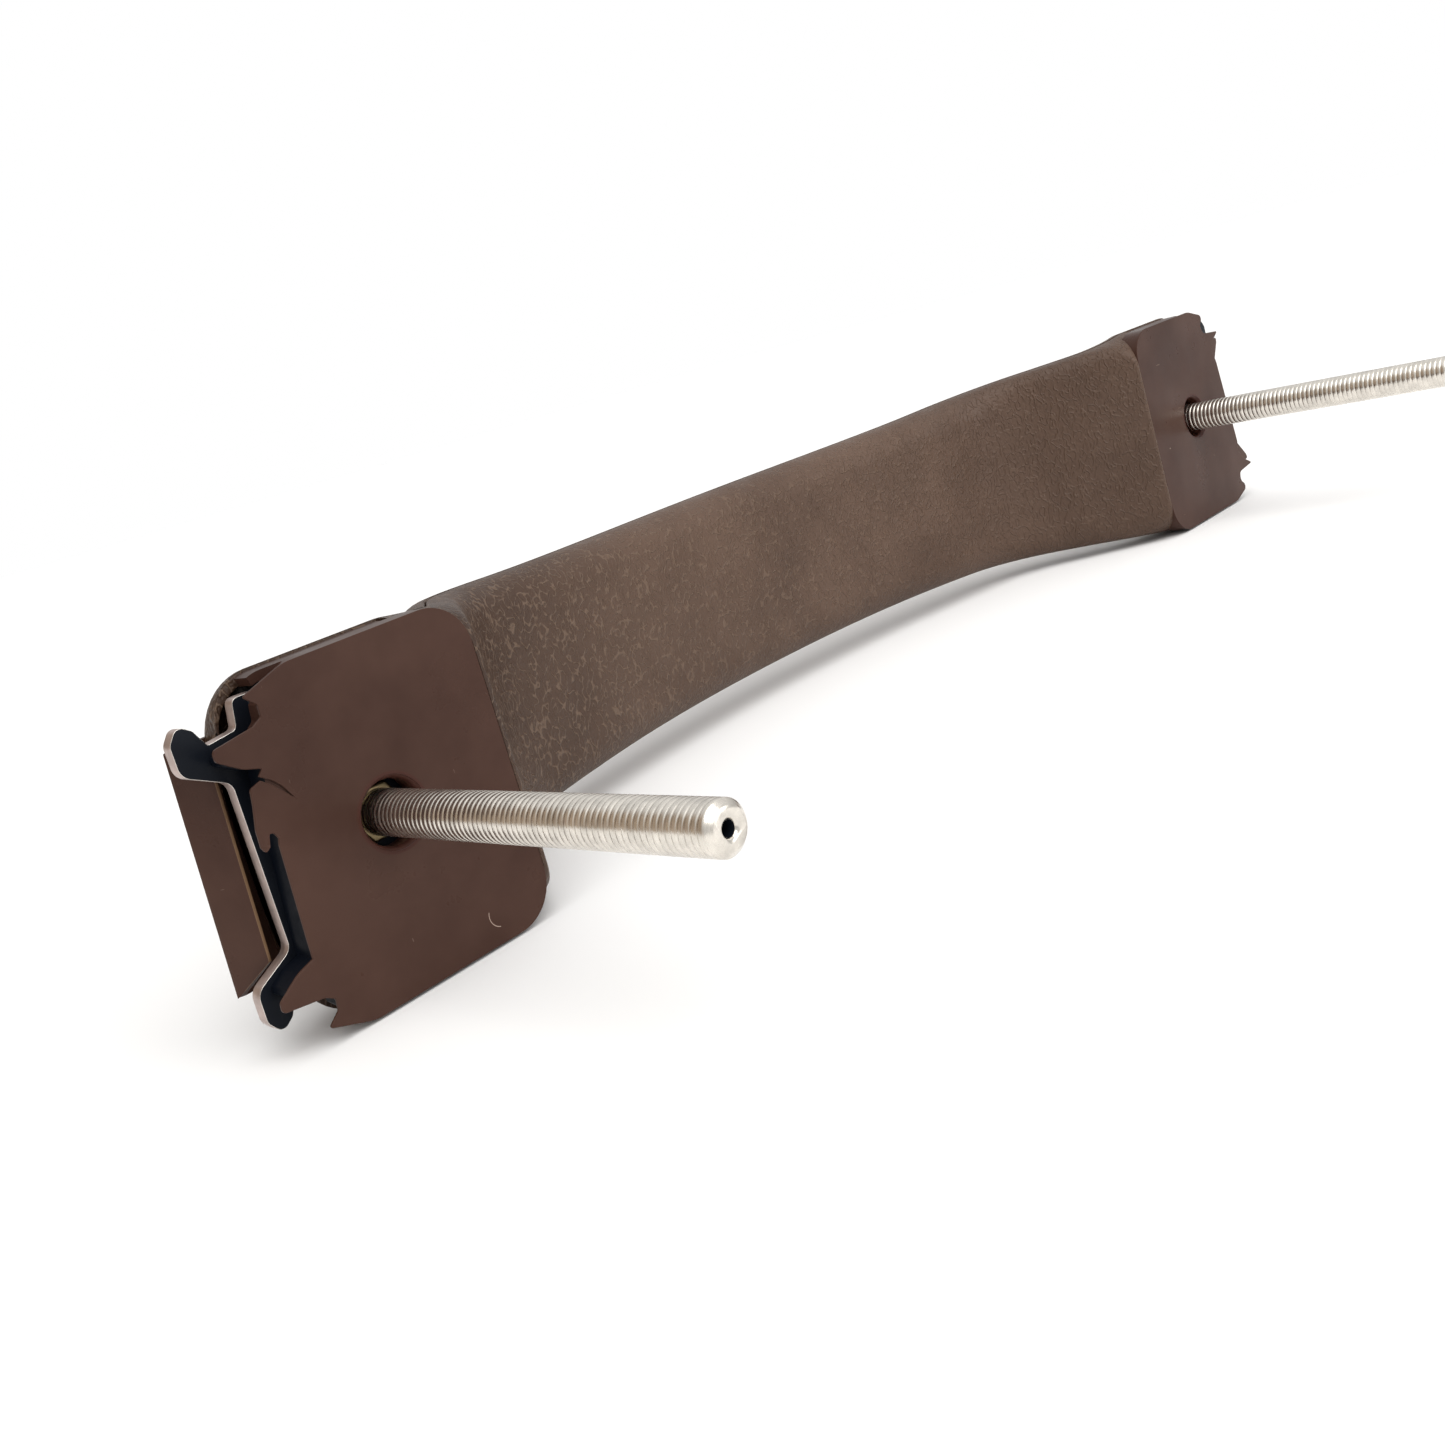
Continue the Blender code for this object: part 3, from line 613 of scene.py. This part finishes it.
def build_front():
    """The front cover: a shell with rounded long edges and a slight crown."""
    top = PARTING + GAP
    lip = [(top, 0.35 * MM, 1), (top + 0.12 * MM, 0.1 * MM, 1), (top + 0.4 * MM, 0.0, 1)]
    edge = []
    for inset, rise in arc((FRONT_EDGE, -FRONT_EDGE), FRONT_EDGE, 180, 90, 12):
        edge.append((TOTAL_DEPTH + rise, inset, 1))
    crown = []
    steps = 6
    for step in range(1, steps + 1):
        inset = FRONT_EDGE + (CROWN_INSET - FRONT_EDGE) * step / steps
        crown.append((TOTAL_DEPTH + CROWN * math.sin(math.pi / 2 * step / steps), inset, 1))
    crown.append((TOTAL_DEPTH + CROWN, CROWN_INSET, 0))
    outer = lip + edge + crown
    inner = [(top, FRONT_SKIN, 1)]
    for inset, rise in arc((FRONT_EDGE, -FRONT_EDGE), FRONT_EDGE - FRONT_SKIN, 180, 90, 4):
        inner.append((TOTAL_DEPTH + rise, inset, 1))
    inner.append((TOTAL_DEPTH + CROWN - FRONT_SKIN, CROWN_INSET, 1))
    inner.append((TOTAL_DEPTH + CROWN - FRONT_SKIN, CROWN_INSET, 0))
    shell = loft(ring_section(outer, inner), BODY_END_X)
    return piece_from(shell, "front_shell", [FRONT_GRAINED], ["front_cover"])


def build_tab(side, sign):
    """The smooth sheet that turns up across the handle's end."""
    low, thick, taper = TOTAL_DEPTH + 0.4 * MM, 1.6 * MM, 0.14 * MM
    end_x, lean, top = STUD_X + 27.5 * MM, 4.0 * MM, 9.8 * MM
    foot_half, narrowing, slope = 21.0, 5.2, 0.045
    bend = 2.0 * MM
    centre = (end_x - bend, -(low - bend))
    outer = [(BODY_END_X - 2 * MM, -low)] + arc(centre, bend, 270, 360, 6)
    outer += [(end_x, -low + (low - top) * k / 8) for k in range(2, 9)]
    inner = [(x - thick + taper * k, y) for k, (x, y) in reversed(list(enumerate(outer[7:], 1)))]
    inner += [(end_x - thick, -low + thick), (BODY_END_X - 2 * MM, -low + thick)]
    bm = bmesh.new()
    rows = []
    columns = 15
    for column in range(columns):
        share = -1 + 2 * column / (columns - 1)
        row = []
        for x, y in outer + inner:
            up = min(max((y + low - thick) / (low - thick - top), 0.0), 1.0)
            half = (foot_half - narrowing * up) * MM
            slant = slope * share * half
            row.append(bm.verts.new((sign * (x - lean * up - slant), y, share * half)))
        rows.append(row)
    for first, second in zip(rows, rows[1:]):
        for k in range(len(first)):
            j = (k + 1) % len(first)
            bm.faces.new((first[k], first[j], second[j], second[k]))
    bm.faces.new(rows[0])
    bm.faces.new(rows[-1])
    bmesh.ops.recalc_face_normals(bm, faces=bm.faces)
    sharp = [e for e in bm.edges if len(e.link_faces) == 2 and e.calc_face_angle() > math.radians(45)]
    round_edges(bm, sharp, 0.25 * MM, 2)
    # The tab's upward top-edge faces take the lighter vinyl as painted highlight; the faces turned inward
    # take the dark core.
    for face in bm.faces:
        upper = face.calc_center_median().y > -low + 3 * MM
        if upper and face.normal.y > 0.6:
            face.material_index = 1
        elif upper and face.normal.x * sign < -0.3:
            face.material_index = 2
    return piece_from(bm, side + "_end_tab", [SMOOTH, TAB_EDGE_HIGHLIGHT_VINYL, CORE])


def hole_cutter(sign, radius, top=4 * MM, bottom=-12 * MM):
    return turned([(0, top), (radius, top), (radius, bottom), (0, bottom)], sign * STUD_X)


def build_plate(side, sign, half, flap=()):
    """The smooth skin over the dark core, cut together at the end to one toothed outline."""
    outline = rounded(plate_corners(sign, half, flap))
    skin = carve(slab(outline, 0.0, -SKIN_THICKNESS, 0.1 * MM), [hole_cutter(sign, 6.4 * MM)])
    reach, roll, foot = 6.9 * MM, 1.25 * MM, -3.0 * MM
    lip = [(reach - roll, foot)] + arc((reach, -roll), roll, 180, 90, 8)
    lip += [(reach, -0.44 * MM), (6.5 * MM, -0.6 * MM), (6.1 * MM, -1.4 * MM), (6.05 * MM, foot)]
    merge(skin, turned(lip, sign * STUD_X, closed=True))
    piece_from(skin, side + "_plate_skin", [SMOOTH], [side + "_end_plate"], 50, True)
    inset = 0.1 * MM
    core_corners = [(sign * (abs(x) - inset), z - math.copysign(inset, z), radius)
                    for x, z, radius in plate_corners(sign, CORE_CORNER + half[len(CORE_CORNER):])]
    core = slab(rounded(core_corners), -SKIN_THICKNESS - 0.02 * MM, -PLATE_BOTTOM)
    core = carve(core, [hole_cutter(sign, 6.1 * MM)])
    side_z, thick = PAD_HALF - 0.4 * MM, 1.6 * MM
    centre = (CORNER_X, side_z - CORNER_RADIUS)
    wall = [(COVER_END_X, side_z)] + arc(centre, CORNER_RADIUS, 90, 70, 4)
    wall += arc(centre, CORNER_RADIUS - thick, 70, 90, 4) + [(COVER_END_X, side_z - thick)]
    for turn in (1, -1):
        merge(core, slab([(sign * x, turn * z) for x, z in wall], -PLATE_BOTTOM, -PARTING))
    for face in core.faces:
        face.material_index = 1 if abs(face.calc_center_median().x) < CUT_START_X else 0
    piece_from(core, side + "_plate_core", [CORE, SMOOTH], planar=True)


def strip_half_width(x):
    """Half the strip's width: narrow inside the grip, and widening smoothly to its ends."""
    t = min(max((abs(x) - STRIP_TAPER_X) / STRIP_TAPER_LENGTH, 0.0), 1.0)
    return STRIP_NARROW + STRIP_WIDENING * t * t * (3 - 2 * t)


def build_strip():
    """The steel strip: a flat bar along the bow, cut at both ends to an eared outline."""
    section = [(STRIP_TOP, 0.0, 1, 1), (STRIP_TOP, 0.0, 1, -1)]
    section += [(STRIP_BOTTOM, 0.0, 1, -1), (STRIP_BOTTOM, 0.0, 1, 1)]
    bar = loft(section, STRIP_REACH_X, strip_half_width)
    half = in_metres(STRIP_HALF)
    outside_x, outside_z = STRIP_REACH_X + 2 * MM, 34 * MM
    cutters = []
    for sign in ENDS.values():
        corners = [(sign * (STUD_X + past), z, radius) for past, z, radius in half + mirrored(half)]
        line = rounded(corners)
        line += [Vector((line[-1].x, -outside_z)), Vector((sign * outside_x, -outside_z)),
                 Vector((sign * outside_x, outside_z)), Vector((line[0].x, outside_z))]
        cutters.append(slab(line, 0.0, -2 * STRIP_BOTTOM))
        cutters.append(hole_cutter(sign, 4.3 * MM))
    bar = carve(bar, cutters)
    bmesh.ops.remove_doubles(bar, verts=bar.verts, dist=CLOSE)
    rim = [e for e in bar.edges if len(e.link_faces) == 2 and e.calc_face_angle() > math.radians(60)
           and all(abs(v.co.x) > EAR_START_X for v in e.verts)
           and abs(e.verts[0].co.y - e.verts[1].co.y) < CLOSE]
    round_edges(bar, rim, 0.42 * MM, 3)
    # Painted light on the strip's ends: the upright walls take the duller pinkish steel as painted
    # reflection, the rounded rims the brighter steel as painted highlight.
    for face in bar.faces:
        level = abs(face.normal.y)
        if abs(face.calc_center_median().x) > EAR_START_X and level < 0.97:
            face.material_index = 1 if level < 0.2 else 2
    return piece_from(bar, "steel_strip", [BLUED_AND_BORE_SHADE, STRIP_WALL_REFLECTION_STEEL, STRIP_RIM_HIGHLIGHT_STEEL], ["core_strip"], 30)


def thread_drop(phase):
    """How far the surface lies below the crest at a place in the pitch, from 0 to 1."""
    away, groove_share = abs(phase - 0.5) * 2, 0.55
    return THREAD_DEPTH * (0.5 + 0.5 * math.cos(math.pi * min(away / groove_share, 1.0)))


def build_stud(side, sign):
    """A fully threaded stud: the thread's rows follow the helix."""
    around, rows_per_pitch = 56, 8
    chamfer, tip, foot = 1.0 * MM, STUD_TIP, STUD_FOOT
    turns = int((tip - foot) / PITCH) + 3
    bm = bmesh.new()
    grid = []
    for row in range(turns * rows_per_pitch):
        ring = []
        for k in range(around):
            y = foot + (row / rows_per_pitch - 1 + k / around) * PITCH
            y = min(max(y, foot), tip)
            radius = STUD_RADIUS - thread_drop((row / rows_per_pitch) % 1.0)
            radius = min(radius, STUD_RADIUS - chamfer + (tip - y), STUD_RADIUS - chamfer + (y - foot))
            angle = math.tau * k / around
            ring.append(bm.verts.new((sign * STUD_X + radius * math.cos(angle), y, radius * math.sin(angle))))
        grid.append(ring)
    for row in range(len(grid) - 1):
        for k in range(around):
            j = (k + 1) % around
            lift = rows_per_pitch if j == 0 else 0
            if row + 1 + lift >= len(grid):
                continue
            bm.faces.new((grid[row][k], grid[row + lift][j], grid[row + 1 + lift][j], grid[row + 1][k]))
    bmesh.ops.remove_doubles(bm, verts=bm.verts, dist=2 * CLOSE)
    bmesh.ops.dissolve_degenerate(bm, dist=CLOSE, edges=bm.edges)
    loose = [v for v in bm.verts if not v.link_faces]
    bmesh.ops.delete(bm, geom=loose, context="VERTS")
    rings = [e for e in bm.edges if len(e.link_faces) == 1]
    for level in (foot, tip):
        border = [e for e in rings if all(abs(v.co.y - level) < CLOSE for v in e.verts)]
        bmesh.ops.contextual_create(bm, geom=border)
    bore = 1.15 * MM
    drill = [(0, tip + MM), (2.0 * MM, tip + MM), (1.65 * MM, tip), (bore, tip - 0.45 * MM),
             (bore, tip - 6 * MM), (0, tip - 6.5 * MM)]
    bm = carve(bm, [turned(drill, sign * STUD_X, 32)])
    hexagon = arc((sign * STUD_X, 0.0), COLLAR_RADIUS, 0, 300, 5)
    collar = slab(hexagon, -COLLAR_TOP, -PLATE_BOTTOM, 0.4 * MM, 3)
    merge(bm, carve(collar, [hole_cutter(sign, STUD_RADIUS - 0.1 * MM)]))
    # Painted shade: the bore in the tip takes the near-black blued material; the collar takes the brass.
    for face in bm.faces:
        middle = face.calc_center_median()
        reach = max(math.hypot(abs(v.co.x) - STUD_X, v.co.z) for v in face.verts)
        if reach < 1.3 * MM and tip - 8 * MM < middle.y < tip - 0.1 * MM:
            face.material_index = 1
        elif reach > 4.2 * MM:
            face.material_index = 2
    materials = [STUD_STEEL, BLUED_AND_BORE_SHADE, BRASSY]
    return piece_from(bm, side + "_threaded_stud", materials, [side + "_stud"], 50)


def build_foam():
    """The padding between the strip and the front cover, with a pocket round each stud's nut."""
    step = PARTING + GAP
    inset = FRONT_SKIN + GAP
    side = [(FOAM_TOP, BACK_SKIN + GAP, 1), (step, BACK_SKIN + GAP, 1), (step + GAP, inset, 1)]
    for place, rise in arc((FRONT_EDGE, -FRONT_EDGE), FRONT_EDGE - inset, 180, 90, 6):
        side.append((TOTAL_DEPTH + rise, place, 1))
    side.append((TOTAL_DEPTH + CROWN - inset, CROWN_INSET, 1))
    section = [(*item, 1) for item in side] + [(*item, -1) for item in reversed(side)]
    pockets = [hole_cutter(sign, 9 * MM, 0.0, -40 * MM) for sign in ENDS.values()]
    padding = carve(loft(section, CORNER_X + 2 * MM), pockets)
    foam = piece_from(padding, "foam_pad", [FOAM], ["foam_core"])
    return foam


build_grip_back()
build_front()
build_strip()
build_foam()
build_plate("right", 1, NEAR_HALF, FLAP)
build_plate("left", -1, FAR_HALF)
for end_side, end_sign in ENDS.items():
    build_tab(end_side, end_sign)
    build_stud(end_side, end_sign)
    for node in (end_side + "_washer", end_side + "_nut"):
        hidden_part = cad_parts[node]
        hidden_part.data.materials.clear()
        hidden_part.data.materials.append(PLATED)


# ---------------------------------------------------------------- stage

LIGHT_DISTANCE = 1.2
CAMERA_PLACE = (0.26456, 0.21788, 0.05818)
CAMERA_RIGHT = (-0.67083, 0.68903, -0.27427)
CAMERA_DOWN = (0.30636, -0.07933, -0.94860)


def build_floor():
    bm = bmesh.new()
    drop = Matrix.Translation((0, 0, cad_low.z - 0.5 * MM))
    bmesh.ops.create_grid(bm, x_segments=12, y_segments=12, size=6.0, matrix=drop)
    mesh = bpy.data.meshes.new("floor")
    bm.to_mesh(mesh)
    bm.free()
    n = Nodes("floor_paint", (0.86, 0.86, 0.86), 0.9, specular=0.1)
    n.link(n.mix(n.noise(3.0), (0.86, 0.86, 0.86), (0.88, 0.88, 0.88)), "Base Color")
    mesh.materials.append(n.material)
    obj = bpy.data.objects.new("floor", mesh)
    bpy.context.scene.collection.objects.link(obj)


def build_world():
    """A white studio: bright above, softer at the sides, with one warm dim side."""
    world = bpy.data.worlds.new("studio")
    bpy.context.scene.world = world
    world.use_nodes = True
    tree = world.node_tree
    tree.nodes.clear()
    link = tree.links.new
    place = tree.nodes.new("ShaderNodeTexCoord").outputs["Generated"]
    parts = tree.nodes.new("ShaderNodeSeparateXYZ")
    link(place, parts.inputs[0])
    height = tree.nodes.new("ShaderNodeMapRange")
    height.interpolation_type = "SMOOTHSTEP"
    height.inputs["From Min"].default_value = -0.2
    height.inputs["From Max"].default_value = 0.9
    link(parts.outputs["Z"], height.inputs["Value"])
    sky = tree.nodes.new("ShaderNodeMix")
    sky.data_type = "RGBA"
    sky.inputs[6].default_value = (0.62, 0.61, 0.60, 1)
    sky.inputs[7].default_value = (1.0, 1.0, 1.0, 1)
    link(height.outputs[0], sky.inputs[0])
    dot = tree.nodes.new("ShaderNodeVectorMath")
    dot.operation = "DOT_PRODUCT"
    dot.inputs[1].default_value = Vector((0.66, -0.72, 0.10)).normalized()
    link(place, dot.inputs[0])
    shade = tree.nodes.new("ShaderNodeMapRange")
    shade.interpolation_type = "SMOOTHSTEP"
    shade.inputs["From Min"].default_value = 0.64
    shade.inputs["From Max"].default_value = 0.86
    link(dot.outputs["Value"], shade.inputs["Value"])
    mixed = tree.nodes.new("ShaderNodeMix")
    mixed.data_type = "RGBA"
    mixed.inputs[7].default_value = (0.46, 0.36, 0.27, 1)
    link(shade.outputs[0], mixed.inputs[0])
    link(sky.outputs[2], mixed.inputs[6])
    lit = tree.nodes.new("ShaderNodeBackground")
    link(mixed.outputs[2], lit.inputs["Color"])
    lit.inputs["Strength"].default_value = 0.9
    seen = tree.nodes.new("ShaderNodeBackground")
    seen.inputs["Color"].default_value = (1, 1, 1, 1)
    ray = tree.nodes.new("ShaderNodeLightPath")
    choose = tree.nodes.new("ShaderNodeMixShader")
    link(ray.outputs["Is Camera Ray"], choose.inputs[0])
    link(lit.outputs[0], choose.inputs[1])
    link(seen.outputs[0], choose.inputs[2])
    out = tree.nodes.new("ShaderNodeOutputWorld")
    link(choose.outputs[0], out.inputs[0])


def add_light(kind, name, energy, towards, size, colour):
    """A light that shines at the handle. size is a sun's angle or a disk's width."""
    light = bpy.data.lights.new(name, kind)
    light.energy = energy
    light.color = colour
    if kind == "SUN":
        light.angle = size
    else:
        light.shape = "DISK"
        light.size = size
    obj = bpy.data.objects.new(name, light)
    direction = Vector(towards).normalized()
    obj.location = direction * LIGHT_DISTANCE
    obj.rotation_mode = "QUATERNION"
    obj.rotation_quaternion = direction.to_track_quat("Z", "Y")
    bpy.context.scene.collection.objects.link(obj)


def build_camera():
    """Stands past the right end, on the studs' side, and looks towards the left end."""
    camera = bpy.data.cameras.new("camera")
    camera.sensor_width = 36.0
    camera.lens = 37.0613
    camera.shift_x = 0.000346
    camera.shift_y = -0.088235
    camera.clip_start, camera.clip_end = 0.01, 50.0
    obj = bpy.data.objects.new("camera", camera)
    right = Vector(CAMERA_RIGHT)
    forward = right.cross(Vector(CAMERA_DOWN)).normalized()
    up = -(forward.cross(right)).normalized()
    right = forward.cross(up).normalized()
    turn = Matrix((right, up, -forward)).transposed()
    obj.matrix_world = Matrix.Translation(CAMERA_PLACE) @ turn.to_4x4()
    bpy.context.scene.collection.objects.link(obj)
    bpy.context.scene.camera = obj


build_floor()
build_world()
add_light("SUN", "key", 1.6, (0.25, 0.45, 1.0), math.radians(60), (1.0, 0.985, 0.96))
add_light("AREA", "side_fill", 5.0, (-0.3, 1.0, 0.45), 0.9, (1.0, 0.99, 0.98))
build_camera()
bpy.context.scene.view_settings.view_transform = "Standard"

bpy.context.view_layer.update()
